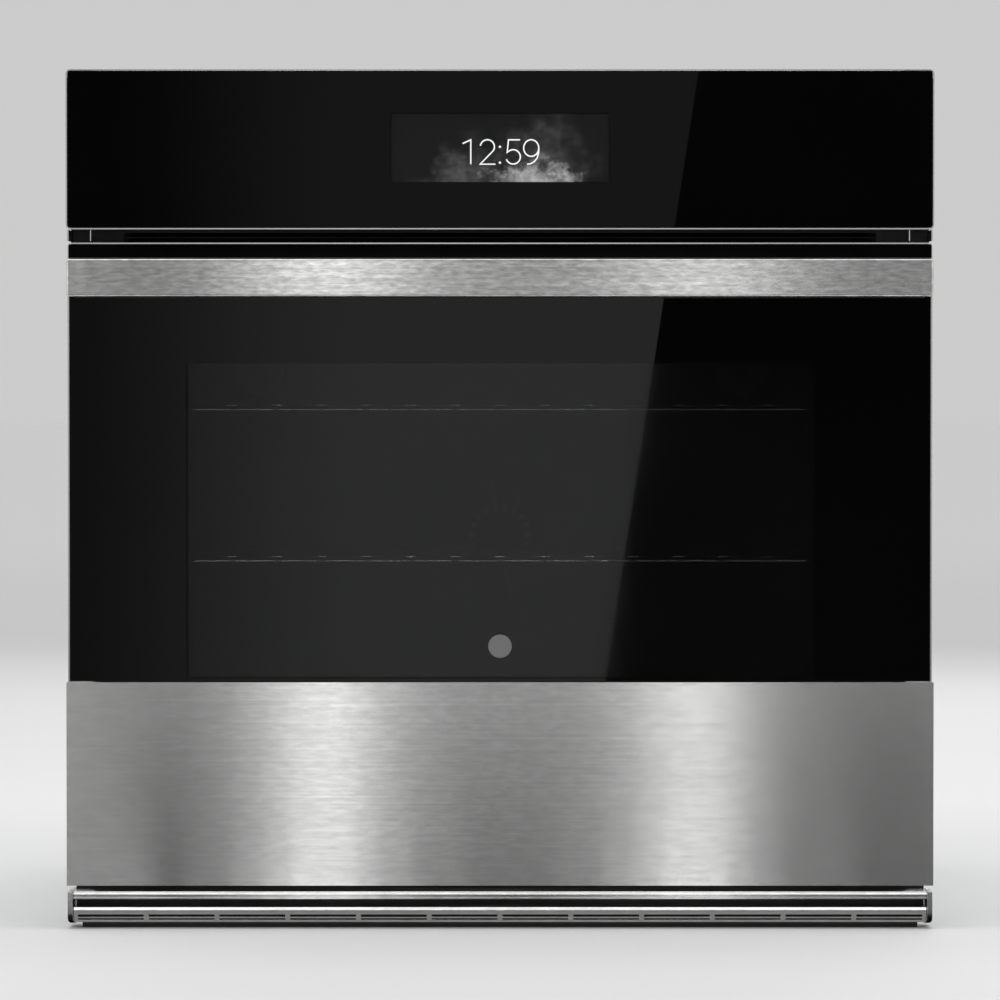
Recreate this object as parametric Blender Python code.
"""A 30-inch built-in electric wall oven.

It has a chassis, a cavity, fans, a latch, a control head, a vent trim and a drop-down door.

Lengths are in metres. The model is drawn in mounting coordinates, where y = 0 is the cabinet face that the
mounting trims bear on, +y runs into the cabinet, and z = 0 is the lowest point. The empty "mounting_frame"
moves all of it back so that the overall depth is centred on the world origin.
"""

import math

import bmesh
import bpy
from mathutils import Matrix, Vector

# Overall size
WIDTH = 0.756
HEIGHT = 0.750
DEPTH = 0.680
HALF = WIDTH / 2

# General
GAP = 0.0003  # between pieces that touch
SHEET = 0.0010  # chassis and liner sheet
TRIM = 0.0012  # visible trim sheet

# Depths, from the cabinet face at y = 0
HANDLE_FRONT = -0.0920
PANEL_FRONT = -0.0472
FRONT = -0.0460  # glass faces of the door and the control head
DOOR_BACK = -0.0075
TRIM_FRONT = -0.0060
CHASSIS_BACK = 0.5600
MOUNT_Y = -DEPTH / 2 - HANDLE_FRONT

# Heights
BASE_Z = 0.0100
FRAME_Z = (0.0800, 0.7350)
CHASSIS_TOP = 0.7363
CONTROL_Z = (0.6105, HEIGHT)
DOOR_Z = (0.0385, 0.5990)
PANEL_TOP = 0.2160
GLASS_Z = (PANEL_TOP + 0.0008, 0.5855)
CHASSIS_HALF = 0.3580

# Cavity
CAVITY_HALF = 0.3175
CAVITY_Z = (0.1150, 0.5450)
CAVITY_BACK = 0.4850
CAVITY_CORNER = 0.0180
FLANGE_WIDTH = 0.0150

# Door hinge axis, along X
HINGE_Y = -0.0320
HINGE_Z = 0.0605
HINGE_X = 0.3000
ARM_HALF = 0.0065

# Racks and their ladders
RACK_HEIGHTS = (0.3180, 0.4520)
RUNG_PITCH = 0.0670
LOWEST_RUNG = 0.1840
RUNG_COUNT = 5
RACK_SIDE_X = 0.3080
RACK_WIRE_PITCH = 0.0395
RACK_Y = (0.0300, 0.4400)

# Fans and cavity fittings
FAN_Z = 0.3300
BLOWER_Y = 0.4000
LAMP_AT = (0.2350, 0.4900)
SENSOR_AT = (0.1100, 0.5000)
BROIL_Z = 0.5250
BAKE_Z = 0.1060
TERMINAL_X = 0.0250
CONVECTION_RING = 0.1000

# Cooling duct, latch and door switch
DUCT_Z = (0.5935, 0.6100)
LATCH_PIVOT = (0.0280, 0.0200)
LATCH_Z = 0.5755
LATCH_REACH = 0.0400
SWITCH_AT = (-0.2500, 0.5770)

# Display window, in the middle of the control glass
DISPLAY_HALF = 0.0950
DISPLAY_Z = (0.6515, 0.7115)

# Vent trim under the door
VENT_BAYS = 12
VENT_BAY = 0.0619
VENT_RIB = 0.0044
VENT_HALF = 0.3725

EMPTIES = {}
MATERIALS = {
    "galvanised": ((0.55, 0.56, 0.57), 0.45, 1.0),
    "black_paint": ((0.02, 0.02, 0.02), 0.45, 0.0),
    "brushed_steel": ((0.62, 0.61, 0.60), 0.30, 1.0),
    "bright_trim": ((0.75, 0.75, 0.75), 0.20, 1.0),
    "enamel": ((0.03, 0.035, 0.045), 0.25, 0.0),
    "chrome_wire": ((0.80, 0.80, 0.80), 0.15, 1.0),
    "black_glass": ((0.01, 0.01, 0.01), 0.05, 0.0),
    "clear_glass": ((0.60, 0.65, 0.63), 0.05, 0.0),
    "heater_tube": ((0.12, 0.11, 0.10), 0.50, 1.0),
    "glass_wool": ((0.80, 0.72, 0.45), 0.90, 0.0),
    "gasket": ((0.20, 0.20, 0.20), 0.85, 0.0),
    "aluminium": ((0.75, 0.76, 0.77), 0.35, 1.0),
    "display": ((0.02, 0.02, 0.02), 0.10, 0.0),
    "circuit_board": ((0.03, 0.20, 0.08), 0.55, 0.0),
    "black_plastic": ((0.03, 0.03, 0.03), 0.50, 0.0),
}


# ---------------------------------------------------------------- scene and materials


def clear_scene():
    for obj in list(bpy.data.objects):
        bpy.data.objects.remove(obj, do_unlink=True)


def material(name):
    found = bpy.data.materials.get(name)
    if found:
        return found
    colour, roughness, metallic = MATERIALS[name]
    made = bpy.data.materials.new(name)
    made.use_nodes = True
    shader = made.node_tree.nodes["Principled BSDF"]
    shader.inputs["Base Color"].default_value = (*colour, 1)
    shader.inputs["Roughness"].default_value = roughness
    shader.inputs["Metallic"].default_value = metallic
    return made


def add_empty(name, place, parent=None):
    """An empty at a point in mounting coordinates. Pieces in its group hang from it."""
    empty = bpy.data.objects.new(name, None)
    bpy.context.scene.collection.objects.link(empty)
    if parent:
        empty.parent = EMPTIES[parent][0]
        empty.location = Vector(place) - EMPTIES[parent][1]
        EMPTIES[name] = (empty, Vector(place))
    else:
        empty.location = place
        EMPTIES[name] = (empty, Vector((0, 0, 0)))


def add_joint_empties():
    """The mounting frame, then one empty on each joint's axis."""
    add_empty("mounting_frame", (0, MOUNT_Y, 0))
    add_empty("door_axis", (0, HINGE_Y, HINGE_Z), "mounting_frame")
    for side, height in zip(("lower", "upper"), RACK_HEIGHTS):
        add_empty(f"{side}_rack_axis", (0, RACK_Y[0], height), "mounting_frame")
    add_empty("fan_axis", (0, CAVITY_BACK, FAN_Z), "mounting_frame")
    add_empty("blower_axis", (0, BLOWER_Y, DUCT_Z[0]), "mounting_frame")
    add_empty("latch_axis", (*LATCH_PIVOT, LATCH_Z), "mounting_frame")
    add_empty("switch_axis", (SWITCH_AT[0], 0, SWITCH_AT[1]), "mounting_frame")


def place(obj, colour, group="mounting_frame"):
    """Gives a finished piece its material and hangs it, with its helpers, from its group's empty."""
    obj.data.materials.clear()
    obj.data.materials.append(material(colour))
    helpers = [m.object for m in obj.modifiers if m.type == "BOOLEAN"]
    for each in (obj, *helpers):
        each.parent = EMPTIES[group][0]
        each.location = -EMPTIES[group][1]
    return obj


# ---------------------------------------------------------------- mesh builders


def object_from(name, points, faces):
    mesh = bpy.data.meshes.new(name)
    mesh.from_pydata([tuple(p) for p in points], [], faces)
    shaped = bmesh.new()
    shaped.from_mesh(mesh)
    bmesh.ops.recalc_face_normals(shaped, faces=shaped.faces)
    shaped.to_mesh(mesh)
    shaped.free()
    obj = bpy.data.objects.new(name, mesh)
    bpy.context.scene.collection.objects.link(obj)
    return obj


def smooth(obj, angle=35):
    obj.data.shade_smooth()
    obj.data.set_sharp_from_angle(angle=math.radians(angle))
    return obj


def along(axis, a, b, height):
    """A point at a height along axis, with a and b as its other two coordinates, in X, Y, Z order."""
    rest = [a, b]
    rest.insert("XYZ".index(axis), height)
    return Vector(rest)


def lofted(name, axis, *levels):
    """A solid skinned over outlines of equal point count, each at its own height, with both ends capped."""
    count = len(levels[0][0])
    points = [along(axis, a, b, height) for outline, height in levels for a, b in outline]
    faces = [list(range(count)), list(range(len(points) - count, len(points)))]
    for base in range(0, len(points) - count, count):
        for i in range(count):
            j = (i + 1) % count
            faces.append((base + i, base + j, base + j + count, base + i + count))
    return object_from(name, points, faces)


def prism(name, outline, axis, span):
    """A solid with a 2D outline, extruded along axis."""
    return lofted(name, axis, (outline, span[0]), (outline, span[1]))


def ring_prism(name, outer, inner, axis, span):
    """An open tube: the space between two outlines with the same number of points, extruded along axis."""
    count = len(outer)
    points = [along(axis, a, b, height) for height in span for a, b in (*outer, *inner)]
    faces = []
    for i in range(count):
        j = (i + 1) % count
        for face in ((i, j, j + count, i + count), (i, j, j + 2 * count, i + 2 * count)):
            faces.append(face)
        faces.append((i + 2 * count, j + 2 * count, j + 3 * count, i + 3 * count))
        faces.append((i + count, j + count, j + 3 * count, i + 3 * count))
    return object_from(name, points, faces)


def box(name, x, y, z):
    return prism(name, rectangle(x, y), "Z", z)


def arc(centre, radius, start, end, steps):
    """Points on an arc, angles in degrees."""
    angles = (math.radians(start + (end - start) * i / steps) for i in range(steps + 1))
    return [(centre[0] + radius * math.cos(a), centre[1] + radius * math.sin(a)) for a in angles]


def rounded(half, low, high, radius, steps=3):
    """A rectangle from -half to half and from low to high, with round corners."""
    corners = ((half, high, 0), (-half, high, 90), (-half, low, 180), (half, low, 270))
    outline = []
    for a, b, start in corners:
        centre = (a - math.copysign(radius, a), b + (radius if b == low else -radius))
        outline += arc(centre, radius, start, start + 90, steps)
    return outline


def rod(name, path, radius, sides=8, closed=False):
    """A round bar that follows a path of points, with flat ends or closed on itself."""
    path = [Vector(p) for p in path]
    count = len(path)
    points = []
    up = None
    for i, here in enumerate(path):
        before = path[i - 1] if closed or i else here
        after = path[(i + 1) % count] if closed or i < count - 1 else here
        tangent = (after - before).normalized()
        if up is None:
            up = Vector((0, 0, 1)) if abs(tangent.z) < 0.9 else Vector((0, 1, 0))
        side = tangent.cross(up).normalized()
        up = side.cross(tangent).normalized()
        into = (here - before).normalized() if here != before else tangent
        stretch = 1 / max(0.5, into.dot(tangent))
        bend = (after - here).normalized() - into if here != after else Vector()
        bend = bend.normalized() if bend.length > 1e-6 else Vector()
        for k in range(sides):
            angle = 2 * math.pi * (k + 0.5) / sides
            out = side * math.cos(angle) + up * math.sin(angle)
            out += bend * out.dot(bend) * (stretch - 1)
            points.append(here + out * radius)
    faces = []
    for i in range(count if closed else count - 1):
        j = (i + 1) % count
        for k in range(sides):
            m = (k + 1) % sides
            faces.append((i * sides + k, i * sides + m, j * sides + m, j * sides + k))
    if not closed:
        faces += [list(range(sides)), list(range((count - 1) * sides, count * sides))]
    return smooth(object_from(name, points, faces), 50)


def turned(name, profile, axis, centre, steps=16):
    """A solid of revolution about axis. The profile is a closed outline of (radius, height) points."""
    rings = [[] for _ in profile]
    points = []
    for row, (radius, height) in zip(rings, profile):
        turns = steps if radius > 1e-6 else 1
        for k in range(turns):
            angle = 2 * math.pi * k / steps
            point = along(axis, radius * math.cos(angle), radius * math.sin(angle), height)
            row.append(len(points))
            points.append(point + Vector(centre))
    faces = []
    for first, second in zip(rings, rings[1:] + rings[:1]):
        if len(first) == len(second) == 1:
            continue
        for k in range(steps):
            face = [first[k % len(first)], first[(k + 1) % len(first)]]
            face += [second[(k + 1) % len(second)], second[k % len(second)]]
            faces.append(tuple(dict.fromkeys(face)))
    return smooth(object_from(name, points, faces))


def cylinder(name, centre, axis, radius, span, steps=16):
    around = [c for c, letter in zip(centre, "XYZ") if letter != axis]
    return smooth(prism(name, arc(around, radius, 0, 360, steps)[:-1], axis, span))


def rectangle(a, b, inset=0):
    (a0, a1), (b0, b1) = (a[0] + inset, a[1] - inset), (b[0] + inset, b[1] - inset)
    return [(a0, b0), (a1, b0), (a1, b1), (a0, b1)]


def open_box(name, x, y, z, wall, mouth):
    """A box of sheet with one open side: "-Y", "+Y" or "+Z"."""
    sides = {"X": x, "Y": y, "Z": z}
    axis = mouth[1]
    across = [sides[letter] for letter in "XYZ" if letter != axis]
    closed, opening = sides[axis] if mouth[0] == "+" else reversed(sides[axis])
    floor = closed + math.copysign(wall, opening - closed)
    outer, inner = rectangle(*across), rectangle(*across, wall)
    return lofted(name, axis, (outer, closed), (outer, opening), (inner, opening), (inner, floor))


def gathered(name, objects):
    """Several shapes that don't meet, as one helper object for a Boolean."""
    merged = bmesh.new()
    for obj in objects:
        merged.from_mesh(obj.data)
        bpy.data.objects.remove(obj, do_unlink=True)
    mesh = bpy.data.meshes.new(name)
    merged.to_mesh(mesh)
    merged.free()
    helper = bpy.data.objects.new(name, mesh)
    bpy.context.scene.collection.objects.link(helper)
    return helper


def boolean(obj, others, operation):
    helper = gathered(f"{obj.name}.{operation.lower()}.{len(obj.modifiers)}", others)
    helper.hide_render = True
    helper.display_type = "WIRE"
    modifier = obj.modifiers.new(helper.name, "BOOLEAN")
    modifier.operation = operation
    modifier.solver = "EXACT"
    modifier.object = helper
    return obj


def cut(obj, *cutters):
    return boolean(obj, cutters, "DIFFERENCE")


def join(obj, *others):
    return boolean(obj, others, "UNION")


def turn(axis, degrees, centre):
    """A matrix that turns about axis, then moves the origin to centre."""
    return Matrix.Translation(centre) @ Matrix.Rotation(math.radians(degrees), 4, axis)


def on_side(side, low, high):
    """A span of x on the right for side 1, or its mirror image for side -1."""
    return (low, high) if side > 0 else (-high, -low)


SIDES = (("left", -1), ("right", 1))


# ---------------------------------------------------------------- chassis


def add_base_pan():
    """A tray whose floor runs forward to a lip that hangs below the cabinet's shelf."""
    lip_half = 0.3660
    lip_front = -0.0250
    floor = (BASE_Z, BASE_Z + SHEET)
    pan = open_box(
        "base_pan", (-0.3567, 0.3567), (0.0060, CHASSIS_BACK - 0.0025), (BASE_Z, 0.0340), SHEET, "+Z"
    )
    apron = box("apron", (-0.3440, 0.3440), (lip_front, 0.0200), (floor[0] + 0.0001, floor[1] - 0.0001))
    join(pan, apron)
    join(pan, box("lip", (-lip_half, lip_half), (lip_front, lip_front + SHEET), (0, floor[1] - 0.0002)))
    slots = [
        box("slot", (x - 0.03, x + 0.03), (0.09 + row * 0.016, 0.096 + row * 0.016), (0, 0.02))
        for x in (-0.2, -0.1, 0.1, 0.2)
        for row in range(4)
    ]
    cut(pan, *slots)
    place(pan, "black_paint")


def add_side_panels():
    for name, side in SIDES:
        outside, flange = CHASSIS_HALF, 0.0130
        back = CHASSIS_BACK - 0.0013
        outline = [(outside, GAP), (outside, back)]
        outline += [(outside - flange, back), (outside - flange, back - SHEET)]
        outline += [(outside - SHEET, back - SHEET), (outside - SHEET, GAP + SHEET)]
        outline += [(outside - flange, GAP + SHEET), (outside - flange, GAP)]
        panel = prism(f"{name}_side_panel", [(side * x, y) for x, y in outline], "Z", (BASE_Z, FRAME_Z[1]))
        slots = [
            box("slot", on_side(side, 0.35, 0.36), (0.34 + i * 0.016, 0.345 + i * 0.016), (0.63, 0.70))
            for i in range(10)
        ]
        cut(panel, *slots)
        place(panel, "galvanised")


def add_back_panel():
    panel = box(
        "back_panel",
        (-CHASSIS_HALF, CHASSIS_HALF),
        (CHASSIS_BACK - SHEET, CHASSIS_BACK),
        (BASE_Z, FRAME_Z[1]),
    )
    wall = (CHASSIS_BACK - 0.01, CHASSIS_BACK + 0.01)
    slots = [
        box("slot", (x - 0.03, x + 0.03), wall, (0.61 + row * 0.014, 0.615 + row * 0.014))
        for x in (-0.26, -0.18, -0.10, 0.0)
        for row in range(7)
    ]
    slots += [
        box("slot", (x - 0.02, x + 0.02), wall, (0.30 + row * 0.012, 0.305 + row * 0.012))
        for x in (-0.025, 0.025)
        for row in range(5)
    ]
    cut(panel, *slots, cylinder("wire_hole", (0.235, 0, 0.68), "Y", 0.012, wall))
    place(panel, "galvanised")


def add_top_cover():
    cover = box(
        "top_cover",
        (-CHASSIS_HALF, CHASSIS_HALF),
        (GAP, CHASSIS_BACK),
        (FRAME_Z[1] + GAP, CHASSIS_TOP),
    )
    slots = [
        box("slot", (-0.30 + i * 0.018, -0.294 + i * 0.018), (0.34, 0.44), (0.72, 0.75))
        for i in range(8)
    ]
    cut(cover, *slots)
    place(cover, "galvanised")


def add_front_frame():
    """The black face of the chassis, around the cavity, with the cooling outlet above it."""
    wall = (-SHEET - 0.01, 0.01)
    flange_half = CAVITY_HALF + FLANGE_WIDTH + GAP
    frame = box("front_frame", (-0.3565, 0.3565), (-SHEET, 0), FRAME_Z)
    mouth = rounded(
        flange_half, CAVITY_Z[0] - FLANGE_WIDTH - GAP, CAVITY_Z[1] + FLANGE_WIDTH + GAP, 0.006
    )
    cut(
        frame,
        prism("mouth", mouth, "Y", wall),
        box("outlet", (-0.3420, 0.3420), wall, (DUCT_Z[0] + SHEET, DUCT_Z[1] - SHEET)),
        box("latch_slot", (-0.0220, 0.0350), wall, (LATCH_Z - 0.004, LATCH_Z + 0.004)),
        cylinder("switch_hole", (SWITCH_AT[0], 0, SWITCH_AT[1]), "Y", 0.0042, wall),
        box("wiring", (0.04, 0.09), wall, (0.66, 0.70)),
    )
    place(frame, "black_paint")


def add_mounting_trims():
    """Side flanges that bear on the cabinet face and take its four screws."""
    inner, outer = CHASSIS_HALF + GAP, HALF - 0.0015
    for name, side in SIDES:
        outline = [(inner, 0.030), (inner, -SHEET), (outer - SHEET, -SHEET), (outer - SHEET, TRIM_FRONT)]
        outline += [(outer, TRIM_FRONT), (outer, 0), (inner + SHEET, 0), (inner + SHEET, 0.030)]
        trim = prism(f"{name}_mounting_trim", [(side * x, y) for x, y in outline], "Z", (0.0800, 0.7450))
        holes = [
            cylinder("screw_hole", (side * 0.3675, 0, z), "Y", 0.0026, (-0.01, 0.01), 12)
            for z in (0.16, 0.66)
        ]
        cut(trim, *holes)
        place(trim, "black_paint")


# ---------------------------------------------------------------- cavity


def rear_wall_holes(wall, extra):
    """Cutters for what passes through the cavity's rear wall, each wider than the piece by extra."""
    holes = [cylinder("shaft", (0, 0, FAN_Z), "Y", 0.0070 + extra, wall)]
    holes += [
        cylinder("lamp", (side * LAMP_AT[0], 0, LAMP_AT[1]), "Y", 0.0200 + extra, wall)
        for _, side in SIDES
    ]
    holes.append(cylinder("sensor", (SENSOR_AT[0], 0, SENSOR_AT[1]), "Y", 0.0034 + extra, wall, 12))
    for z in (BROIL_Z, FAN_Z - CONVECTION_RING):
        holes += [
            cylinder("terminal", (side * TERMINAL_X, 0, z), "Y", 0.0042 + extra, wall, 12)
            for _, side in SIDES
        ]
    return holes


def add_liner():
    """A five-sided tub of sheet with a flange round its mouth."""

    def outline(grown, radius):
        return rounded(CAVITY_HALF + grown, CAVITY_Z[0] - grown, CAVITY_Z[1] + grown, radius)

    inside, outside = outline(0, CAVITY_CORNER), outline(SHEET, CAVITY_CORNER + SHEET)
    flange = outline(FLANGE_WIDTH, 0.0057)
    liner = lofted(
        "oven_liner",
        "Y",
        (inside, CAVITY_BACK),
        (inside, -SHEET),
        (flange, -SHEET),
        (flange, 0),
        (outside, 0),
        (outside, CAVITY_BACK + SHEET),
    )
    cut(liner, *rear_wall_holes((CAVITY_BACK - 0.01, CAVITY_BACK + 0.01), 0))
    place(smooth(liner), "enamel")


def add_insulation():
    """A blanket round the top, sides, floor and back of the liner, with holes for what passes through."""
    blanket = open_box(
        "insulation_blanket", (-0.3440, 0.3440), (0.0040, 0.5075), (0.0780, 0.5700), 0.0200, "-Y"
    )
    cut(blanket, *rear_wall_holes((0.48, 0.52), 0.0030))
    place(blanket, "glass_wool")


def add_gasket():
    path = rounded(CAVITY_HALF + 0.0080, CAVITY_Z[0] - 0.0075, CAVITY_Z[1] + 0.0075, 0.0160, 4)
    ring = rod("door_gasket", [(x, -0.0042, z) for x, z in path], 0.0029, 6, closed=True)
    place(ring, "gasket")


def add_rack_ladders():
    """Wire side guides. Each rack runs between a support rung and a guard rung."""
    wire = 0.0022
    for name, side in SIDES:
        upright_x, rung_x = side * 0.3145, side * 0.3110
        ladder = rod(
            f"{name}_rack_ladder", [(upright_x, 0.060, 0.165), (upright_x, 0.060, 0.500)], wire
        )
        rungs = []
        for i in range(RUNG_COUNT):
            height = LOWEST_RUNG + i * RUNG_PITCH
            for z in (height - 0.0052, height + 0.0120):
                rungs.append(rod("rung", [(rung_x, 0.034, z), (rung_x, 0.430, z)], wire))
        join(ladder, *rungs)
        join(ladder, rod("upright", [(upright_x, 0.400, 0.165), (upright_x, 0.400, 0.500)], wire))
        studs = [
            cylinder("stud", (0, y, z), "X", 0.0040, on_side(side, 0.3150, 0.3171), 8)
            for y in (0.060, 0.400)
            for z in (0.205, 0.470)
        ]
        join(ladder, *studs)
        place(ladder, "chrome_wire")


def serpentine(runs, half, y_near, y_far, bend, z):
    """Half of a symmetrical heater: runs along Y joined by round bends, from the middle outwards."""
    points = []
    step = half / runs
    for i in range(runs):
        x = step * (i + 0.5)
        ends = (y_far, y_near) if i % 2 == 0 else (y_near, y_far)
        points.append((x, ends[0], z))
        if i == runs - 1:
            points.append((x, ends[1], z))
            continue
        turn = ends[1] + math.copysign(bend, ends[0] - ends[1])
        radius = step / 2
        sweep = 180 if ends[1] < ends[0] else -180
        for a in range(5):
            angle = math.radians(180 + sweep * a / 4)
            points.append((x + radius + radius * math.cos(angle), turn + radius * math.sin(angle), z))
    return points


def add_heaters():
    """The bake element under the cavity floor, the broil element above the racks, and the fan's ring."""
    bar = 0.0033
    for name, z, runs, half in (("bake_element", BAKE_Z, 3, 0.2700), ("broil_element", BROIL_Z, 3, 0.2700)):
        one = serpentine(runs, half, 0.0600, 0.4000, 0.0, z)
        out = [(TERMINAL_X, 0.4820 if z == BAKE_Z else 0.5200, z), (TERMINAL_X, 0.4300, z)]
        half_path = out + one[:-1]
        edge = half_path[-1]
        front = 0.0450 if z == BROIL_Z else 0.0300
        half_path = half_path[:-1] + [(edge[0], front + 0.02, z), (edge[0] - 0.02, front, z)]
        mirrored = [(-x, y, h) for x, y, h in reversed(half_path)]
        place(rod(name, half_path + mirrored, bar), "heater_tube")
    turn = arc((0, FAN_Z), CONVECTION_RING, -90 + 14.5, 270 - 14.5, 24)
    start, end = turn[0], turn[-1]
    ring = [(start[0], 0.5200, FAN_Z - CONVECTION_RING), (start[0], 0.4760, FAN_Z - CONVECTION_RING)]
    ring += [(x, 0.4720, z) for x, z in turn]
    ring += [(end[0], 0.4760, FAN_Z - CONVECTION_RING), (end[0], 0.5200, FAN_Z - CONVECTION_RING)]
    place(rod("convection_element", ring, bar), "heater_tube")


def add_convection_fan():
    half = 0.1300
    front = CAVITY_BACK - 0.0280
    baffle = open_box(
        "convection_baffle",
        (-half, half),
        (front, CAVITY_BACK - GAP),
        (FAN_Z - half, FAN_Z + half),
        SHEET,
        "+Y",
    )
    slots = []
    for k in range(18):
        slot = box("slot", (0.024, 0.056), (front - 0.01, front + 0.01), (-0.0024, 0.0024))
        slot.data.transform(turn("Y", 360 * k / 18, (0, 0, FAN_Z)))
        slots.append(slot)
    cut(baffle, *slots)
    outlets = [
        box("outlet", on_side(side, half - 0.01, half + 0.01), (front + 0.006, front + 0.021), (z, z + 0.026))
        for _, side in SIDES
        for z in (FAN_Z - 0.10 + 0.04 * i for i in range(5))
    ]
    cut(baffle, *outlets)
    place(baffle, "enamel")

    hub = [(0, 0.4640), (0.0040, 0.4640), (0.0040, 0.4760), (0.0300, 0.4760), (0.0300, 0.4775)]
    hub += [(0.0040, 0.4775), (0.0040, 0.5350), (0, 0.5350)]
    fan = turned("convection_fan", hub, "Y", (0, 0, FAN_Z), 20)
    blades = []
    for k in range(10):
        blade = box("blade", (0.0220, 0.0760), (0.4630, 0.4768), (-0.0006, 0.0006))
        blade.data.transform(turn("Y", 360 * (k + 0.3) / 10, (0, 0, FAN_Z)))
        blades.append(blade)
    join(fan, *blades)
    place(fan, "aluminium", "fan_axis")

    motor = cylinder("convection_motor", (0, 0, FAN_Z), "Y", 0.0370, (0.5115, 0.5540), 20)
    join(motor, box("plate", (-0.0550, 0.0550), (0.5105, 0.5125), (FAN_Z - 0.0300, FAN_Z + 0.0300)))
    cut(motor, cylinder("bore", (0, 0, FAN_Z), "Y", 0.0050, (0.5000, 0.5380), 12))
    place(motor, "galvanised")


def add_cavity_fittings():
    """Lamps, their screw-in lenses and the temperature sensor, on the rear wall."""
    face = CAVITY_BACK
    cup = [(0, 0.5250), (0.0190, 0.5250), (0.0190, face - 0.0004), (0.0250, face - 0.0004)]
    cup += [(0.0250, face - 0.0020), (0.0160, face - 0.0020), (0.0160, 0.5200), (0.0060, 0.5200)]
    cup += [(0.0060, 0.4880), (0.0035, 0.4830), (0, 0.4820)]
    lens = [(0, 0.4700), (0.0120, 0.4715), (0.0200, 0.4755), (0.0235, 0.4827), (0.0215, 0.4827)]
    lens += [(0.0185, 0.4773), (0.0115, 0.4736), (0, 0.4722)]
    for name, side in SIDES:
        centre = (side * LAMP_AT[0], 0, LAMP_AT[1])
        place(turned(f"{name}_lamp", cup, "Y", centre), "galvanised")
        place(turned(f"{name}_lamp_lens", lens, "Y", centre), "clear_glass")
    x, z = SENSOR_AT
    sensor = rod("temperature_sensor", [(x, 0.3950, z), (x, 0.5200, z)], 0.0024)
    plate = box("plate", (x - 0.0150, x + 0.0150), (face - 0.0016, face - 0.0005), (z - 0.006, z + 0.006))
    join(sensor, plate)
    place(sensor, "bright_trim")


# ---------------------------------------------------------------- cooling, latch and electronics


def add_cooling_blower():
    low, high = 0.5750, 0.6600
    depth = (BLOWER_Y - 0.1100, BLOWER_Y + 0.1100)
    housing = open_box("blower_housing", (-0.1100, 0.1100), depth, (low, high), SHEET, "-Y")
    front = BLOWER_Y - 0.1100
    thickness = (front + 0.0002, front + 0.0012)
    join(housing, box("front", (-0.1095, 0.1095), thickness, (low + 0.0005, high - 0.0005)))
    cut(
        housing,
        cylinder("intake", (0, BLOWER_Y, 0), "Z", 0.0480, (high - 0.01, high + 0.01), 20),
        box(
            "outlet", (-0.0980, 0.0980), (front - 0.01, front + 0.01),
            (DUCT_Z[0] + 0.002, DUCT_Z[1] - 0.002)
        ),
    )
    place(housing, "galvanised")

    radius, floor, rim = 0.0780, 0.5800, 0.6500
    disc = [(0, floor), (radius, floor), (radius, floor + 0.0012), (0, floor + 0.0012)]
    wheel = turned("blower_wheel", disc, "Z", (0, BLOWER_Y, 0), 20)
    vanes = []
    for k in range(16):
        span = (radius - 0.0160, radius - 0.0030)
        vane = box("vane", span, (-0.0005, 0.0005), (floor + 0.0006, rim - 0.0006))
        vane.data.transform(turn("Z", 360 * (k + 0.5) / 16, (0, BLOWER_Y, 0)))
        vanes.append(vane)
    join(wheel, *vanes)
    ring = [(radius - 0.0180, rim - 0.0012), (radius, rim - 0.0012), (radius, rim), (radius - 0.0180, rim)]
    join(wheel, turned("rim", ring, "Z", (0, BLOWER_Y, 0), 20))
    join(wheel, cylinder("shaft", (0, BLOWER_Y, 0), "Z", 0.0030, (floor + 0.0004, 0.6850), 10))
    place(wheel, "galvanised", "blower_axis")

    motor = cylinder("blower_motor", (0, BLOWER_Y, 0), "Z", 0.0330, (0.6650, 0.7200), 20)
    join(motor, box("bracket", (-0.0700, 0.0700), (BLOWER_Y - 0.0100, BLOWER_Y + 0.0100), (0.6603, 0.6660)))
    cut(motor, cylinder("bore", (0, BLOWER_Y, 0), "Z", 0.0038, (0.6500, 0.6880), 12))
    place(motor, "galvanised")


def add_air_duct():
    """A flat duct that widens from the blower to the slot between the control head and the door."""
    back = BLOWER_Y - 0.1100 - GAP
    wide, narrow = 0.3400, 0.0990

    def plan(inset, near, far):
        return [(-wide + inset, near), (wide - inset, near), (narrow - inset, far), (-narrow + inset, far)]

    duct = prism("air_duct", plan(0, GAP, back), "Z", DUCT_Z)
    hollow = plan(SHEET, GAP - 0.0001, back + 0.0001)
    hollow[0] = (hollow[0][0], -0.01)
    hollow[1] = (hollow[1][0], -0.01)
    hollow[2] = (hollow[2][0], back + 0.01)
    hollow[3] = (hollow[3][0], back + 0.01)
    cut(duct, prism("hollow", hollow, "Z", (DUCT_Z[0] + SHEET, DUCT_Z[1] - SHEET)))
    place(duct, "galvanised")


def add_door_latch():
    """A motor with a hook that swings out through the front frame and into the door."""
    x, y = LATCH_PIVOT
    floor = 0.5710
    motor = box("latch_motor", (0.0450, 0.1050), (0.0080, 0.0560), (floor, 0.5915))
    thickness = (floor + 0.0002, floor + 0.0015)
    join(motor, box("base", (x - 0.0090, 0.0600), (y - 0.0100, y + 0.0120), thickness))
    join(motor, cylinder("pin", (x, y, 0), "Z", 0.0028, (floor + 0.0008, 0.5820), 12))
    place(motor, "galvanised")

    tip = x - LATCH_REACH
    outline = arc((x, y), 0.0065, -90, 90, 6)
    outline += [(tip + 0.0060, y + 0.0050), (tip, y + 0.0030)]
    outline += [(tip, y - 0.0100), (tip + 0.0050, y - 0.0100)]
    outline += [(tip + 0.0080, y - 0.0040)]
    hook = prism("latch_hook", outline, "Z", (LATCH_Z - 0.0011, LATCH_Z + 0.0011))
    cut(hook, cylinder("eye", (x, y, 0), "Z", 0.0032, (LATCH_Z - 0.01, LATCH_Z + 0.01), 12))
    place(hook, "bright_trim", "latch_axis")


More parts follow.
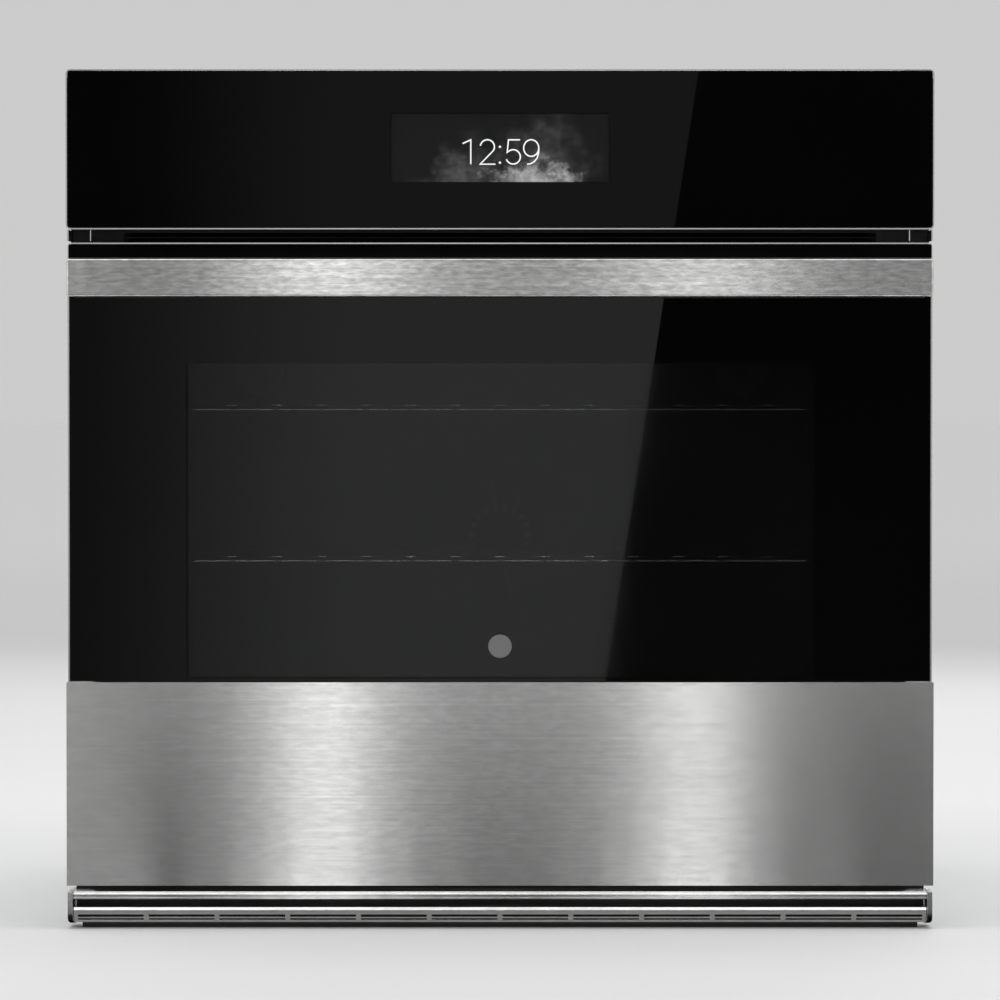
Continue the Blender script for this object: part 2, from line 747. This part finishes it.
def add_door_switch():
    x, z = SWITCH_AT
    body = box("door_switch", (x - 0.0110, x + 0.0110), (0.0010, 0.0290), (z - 0.0050, z + 0.0070))
    cut(body, cylinder("guide", (x, 0, z), "Y", 0.0034, (-0.01, 0.0250), 12))
    place(body, "black_plastic")
    plunger = cylinder("switch_plunger", (x, 0, z), "Y", 0.0028, (DOOR_BACK + GAP, 0.0160), 12)
    place(plunger, "black_plastic", "switch_axis")


def add_control_head():
    """Glass in a thin metal surround, with the display behind it and the relay board in the chassis."""
    low, high = CONTROL_Z
    surround = ring_prism(
        "control_frame",
        rounded(HALF, low, high, 0.0040),
        rounded(HALF - TRIM, low + TRIM, high - TRIM, 0.0028),
        "Y",
        (FRONT, TRIM_FRONT - GAP),
    )
    place(surround, "bright_trim")
    inset = TRIM + GAP
    pane = rounded(HALF - inset, low + inset, high - inset, 0.0025)
    place(prism("control_glass", pane, "Y", (FRONT, FRONT + 0.0040)), "black_glass")
    depth = (FRONT + 0.0043, FRONT + 0.0130)
    module = box("display_module", (-DISPLAY_HALF, DISPLAY_HALF), depth, DISPLAY_Z)
    height = (DISPLAY_Z[0] - 0.01, DISPLAY_Z[1] + 0.01)
    board = box("board", (-0.14, 0.14), (FRONT + 0.0120, FRONT + 0.0136), height)
    join(module, board)
    place(module, "display")

    floor = 0.6220
    relay = box("relay_board", (-0.3000, -0.1400), (0.0600, 0.2000), (floor, floor + 0.0016))
    parts = [(-0.28, 0.075, 0.035, 0.030, 0.030), (-0.23, 0.080, 0.018, 0.015, 0.016)]
    parts += [(-0.20, 0.080, 0.018, 0.015, 0.016), (-0.23, 0.110, 0.018, 0.015, 0.016)]
    parts += [(-0.20, 0.110, 0.018, 0.015, 0.016), (-0.28, 0.130, 0.030, 0.045, 0.022)]
    parts += [(-0.23, 0.150, 0.050, 0.012, 0.010)]
    blocks = [
        box("part", (x, x + w), (y, y + d), (floor + 0.0008, floor + h))
        for x, y, w, d, h in parts
    ]
    join(relay, *blocks)
    posts = [
        cylinder("post", (px, py, 0), "Z", 0.0030, (DUCT_Z[1] + GAP, floor + 0.0008), 8)
        for px in (-0.292, -0.148)
        for py in (0.068, 0.192)
    ]
    join(relay, *posts)
    place(relay, "circuit_board")


def add_supply_connection():
    """The terminal box on the back, with a clamp connector for the cabinet's conduit."""
    lid = open_box(
        "terminal_box",
        (0.1850, 0.2850),
        (CHASSIS_BACK + GAP, CHASSIS_BACK + 0.0280),
        (0.6400, 0.7200),
        SHEET,
        "-Y",
    )
    centre = (0.2350, CHASSIS_BACK + 0.0140, 0)
    cut(lid, cylinder("knockout", centre, "Z", 0.0082, (0.63, 0.65), 12))
    place(lid, "galvanised")
    sleeve = [(0.0060, 0.6480), (0.0060, 0.6120), (0.0100, 0.6120), (0.0100, 0.6280), (0.0120, 0.6300)]
    sleeve += [(0.0120, 0.6397), (0.0079, 0.6397), (0.0079, 0.6480)]
    place(turned("conduit_connector", sleeve, "Z", centre, 12), "bright_trim")


# ---------------------------------------------------------------- vent trim


def add_vent_trim():
    bar = [(-0.0120, 0.0329), (-0.0415, 0.0329)] + arc((-0.0415, 0.0304), 0.0025, 90, 180, 4)[1:]
    bar += [(-0.0440, 0.0261), (-0.0120, 0.0261)]
    place(smooth(prism("vent_bar", bar, "X", (-VENT_HALF, VENT_HALF))), "brushed_steel")

    top, foot = (-0.0430, 0.0192), (-0.0310, 0.0050)
    sheet = 0.0015
    profile = [top, (-0.0130, top[1]), (-0.0130, top[1] - sheet), (top[0] + 0.0030, top[1] - sheet)]
    profile += [(foot[0] + 0.0022, foot[1]), foot]
    grille = prism("vent_grille", profile, "X", (-VENT_HALF, VENT_HALF))
    slots = []
    for bay in range(VENT_BAYS):
        middle = (bay - (VENT_BAYS - 1) / 2) * VENT_BAY
        half = (VENT_BAY - VENT_RIB) / 2
        for z in ((0.0100, 0.0122), (0.0071, 0.0086)):
            slots.append(box("slot", (middle - half, middle + half), (-0.05, -0.0250), z))
    cut(grille, *slots)
    place(grille, "brushed_steel")

    cap = [(-0.0470, 0.0331), (-0.0050, 0.0331), (-0.0050, 0.0012), (-0.0290, 0.0044), (-0.0360, 0.0060)]
    cap += arc((-0.0390, 0.0140), 0.0080, 240, 180, 3)
    for name, side in SIDES:
        span = on_side(side, VENT_HALF + GAP, HALF - 0.0007)
        place(prism(f"{name}_vent_cap", cap, "X", span), "brushed_steel")


# ---------------------------------------------------------------- door


def hinge_clearance(y, z):
    """Cutters that leave room in the door for the two hinge arms."""
    return [box("hinge_slot", on_side(side, HINGE_X - 0.0110, HINGE_X + 0.0110), y, z) for _, side in SIDES]


def add_door_shell():
    edge = HALF - 0.0015
    low, high = DOOR_Z[0] + 0.0015, DOOR_Z[1]
    back = DOOR_BACK - 0.0010
    outer = rounded(edge, low, high, 0.0040)
    inner = rounded(edge - TRIM, low + TRIM, high - TRIM, 0.0028)
    frame = ring_prism("door_frame", outer, inner, "Y", (FRONT, back))
    shelf_outer = rounded(edge - 0.0006, low + 0.0006, high - 0.0006, 0.0034)
    shelf_inner = rounded(edge - 0.0220, low + 0.0220, high - 0.0220, 0.0034)
    join(frame, ring_prism("shelf", shelf_outer, shelf_inner, "Y", (-0.0352, -0.0340)))
    cut(frame, *hinge_clearance((-0.0440, 0.01), (0.03, 0.075)))
    place(frame, "brushed_steel", "door_axis")

    liner = open_box("door_liner", (-0.3700, 0.3700), (-0.0330, DOOR_BACK), (0.0420, 0.5950), SHEET, "-Y")
    window = rounded(0.2850, 0.2060, 0.5100, 0.0120)
    x = LATCH_PIVOT[0]
    cut(
        liner,
        prism("window", window, "Y", (-0.02, 0.0)),
        box("latch_slot", (x - 0.0380, x + 0.0050), (-0.02, 0.0), (LATCH_Z - 0.004, LATCH_Z + 0.004)),
        *hinge_clearance((-0.04, 0.01), (0.03, 0.075)),
    )
    place(liner, "enamel", "door_axis")


def add_door_glazing():
    pane = rounded(HALF - 0.0030, GLASS_Z[0], GLASS_Z[1], 0.0010)
    place(prism("door_outer_glass", pane, "Y", (FRONT, FRONT + 0.0040)), "black_glass", "door_axis")
    middle = box("door_middle_glass", (-0.3050, 0.3050), (-0.0300, -0.0270), (0.1860, 0.5300))
    place(middle, "clear_glass", "door_axis")
    inner = box("door_inner_glass", (-0.2950, 0.2950), (-0.0123, DOOR_BACK - SHEET - GAP), (0.1960, 0.5200))
    place(inner, "clear_glass", "door_axis")


def add_door_front():
    """The steel panel under the glass, the black strip over the handle, and the handle on its two posts."""
    low, high = DOOR_Z[0], PANEL_TOP
    back = -0.0240
    inside = HALF - TRIM
    outline = [(-HALF, back), (-HALF, PANEL_FRONT), (HALF, PANEL_FRONT), (HALF, back)]
    outline += [(inside, back), (inside, PANEL_FRONT + 0.0010)]
    outline += [(-inside, PANEL_FRONT + 0.0010), (-inside, back)]
    panel = prism("door_lower_panel", outline, "Z", (low, high))
    hem = HALF - 0.0035
    join(panel, box("top_hem", (-hem, hem), (PANEL_FRONT + 0.0002, -0.0380), (high - SHEET, high - 0.0001)))
    join(panel, box("foot_hem", (-hem, hem), (PANEL_FRONT + 0.0002, -0.0240), (low + 0.0001, low + SHEET)))
    cut(panel, *hinge_clearance((-0.0440, 0.0), (0.02, 0.0399)))
    place(panel, "brushed_steel", "door_axis")

    strip = [(FRONT + 0.0005, GLASS_Z[1] + GAP), (FRONT + 0.0015, 0.5975), (-0.0360, 0.5975)]
    strip += [(-0.0360, GLASS_Z[1] + GAP)]
    place(prism("door_top_trim", strip, "X", (-0.3730, 0.3730)), "black_paint", "door_axis")

    grip = box("door_handle", (-0.3735, 0.3735), (HANDLE_FRONT, HANDLE_FRONT + 0.0140), (0.5515, 0.5838))
    bevel = grip.modifiers.new("edge", "BEVEL")
    bevel.width = 0.0012
    bevel.segments = 2
    place(grip, "brushed_steel", "door_axis")
    for name, side in SIDES:
        depth = (HANDLE_FRONT + 0.0140 + GAP, FRONT - GAP)
        post = box(f"{name}_handle_post", on_side(side, 0.3350, 0.3570), depth, (0.5580, 0.5773))
        place(post, "brushed_steel", "door_axis")


def add_hinges():
    """Each arm hooks into its receiver in the chassis. The hinge body turns on a pin through the arm."""
    for name, side in SIDES:
        width = on_side(side, HINGE_X - 0.009, HINGE_X + 0.009)
        web = box(f"{name}_hinge_body", width, (-0.0418, -0.0400), (0.0445, 0.18))
        for low, high in ((-0.0090, -0.0065), (0.0065, 0.0090)):
            width = on_side(side, HINGE_X + low, HINGE_X + high)
            cheek = box("cheek", width, (-0.0410, -0.0095), (0.0447, 0.1798))
            join(web, cheek)
        width = on_side(side, HINGE_X - 0.008, HINGE_X + 0.008)
        pin = cylinder("pin", (0, HINGE_Y, HINGE_Z), "X", 0.0030, width, 12)
        join(web, pin)
        cover = on_side(side, HINGE_X - 0.0080, HINGE_X + 0.0080)
        join(web, box("rear", cover, (-0.0120, -0.0100), (0.0900, 0.1795)))
        place(web, "galvanised", "door_axis")

        low, high = HINGE_Z - ARM_HALF, HINGE_Z + ARM_HALF
        outline = arc((HINGE_Y, HINGE_Z), ARM_HALF, 270, 90, 8)
        outline += [(0.0580, high), (0.0580, low - 0.0120), (0.0500, low - 0.0120), (0.0460, low)]
        arm = prism(f"{name}_hinge_arm", outline, "X", on_side(side, HINGE_X - 0.003, HINGE_X + 0.003))
        width = on_side(side, HINGE_X - 0.01, HINGE_X + 0.01)
        eye = cylinder("eye", (0, HINGE_Y, HINGE_Z), "X", 0.0034, width, 12)
        cut(arm, eye)
        place(arm, "galvanised")

        receiver = box(
            f"{name}_hinge_receiver",
            on_side(side, HINGE_X - 0.0100, HINGE_X + 0.0100),
            (0.0080, 0.0700),
            (BASE_Z + SHEET + GAP, 0.0750),
        )
        hollow = on_side(side, HINGE_X - 0.0075, HINGE_X + 0.0075)
        cut(receiver, box("hollow", hollow, (0.0, 0.0670), (0.0360, 0.08)))
        place(receiver, "galvanised")


# ---------------------------------------------------------------- racks


def add_racks():
    """Wire shelves: a bent border, two cross bars and runs from front to back."""
    wire, thin = 0.0030, 0.0020
    near, far = RACK_Y
    for name, height in zip(("lower", "upper"), RACK_HEIGHTS):
        border = rounded(RACK_SIDE_X, near, far, 0.0150, 3)
        rack = rod(f"{name}_rack", [(x, y, height) for x, y in border], wire, closed=True)
        runs = []
        for i in range(-7, 8):
            x = i * RACK_WIRE_PITCH
            path = [(x, near - 0.0010, height + 0.0030), (x, far + 0.0010, height + 0.0030)]
            runs.append(rod("run", path, thin, 6))
        join(rack, *runs)
        bars = [
            rod("bar", [(-RACK_SIDE_X, y, height - 0.0002), (RACK_SIDE_X, y, height - 0.0002)], 0.0024, 6)
            for y in (near + 0.13, near + 0.27)
        ]
        join(rack, *bars)
        place(rack, "chrome_wire", f"{name}_rack_axis")


def main():
    clear_scene()
    add_joint_empties()
    for build in (
        add_base_pan,
        add_side_panels,
        add_back_panel,
        add_top_cover,
        add_front_frame,
        add_mounting_trims,
        add_liner,
        add_insulation,
        add_gasket,
        add_rack_ladders,
        add_heaters,
        add_convection_fan,
        add_cavity_fittings,
        add_cooling_blower,
        add_air_duct,
        add_door_latch,
        add_door_switch,
        add_control_head,
        add_supply_connection,
        add_vent_trim,
        add_door_shell,
        add_door_glazing,
        add_door_front,
        add_hinges,
        add_racks,
    ):
        build()


main()
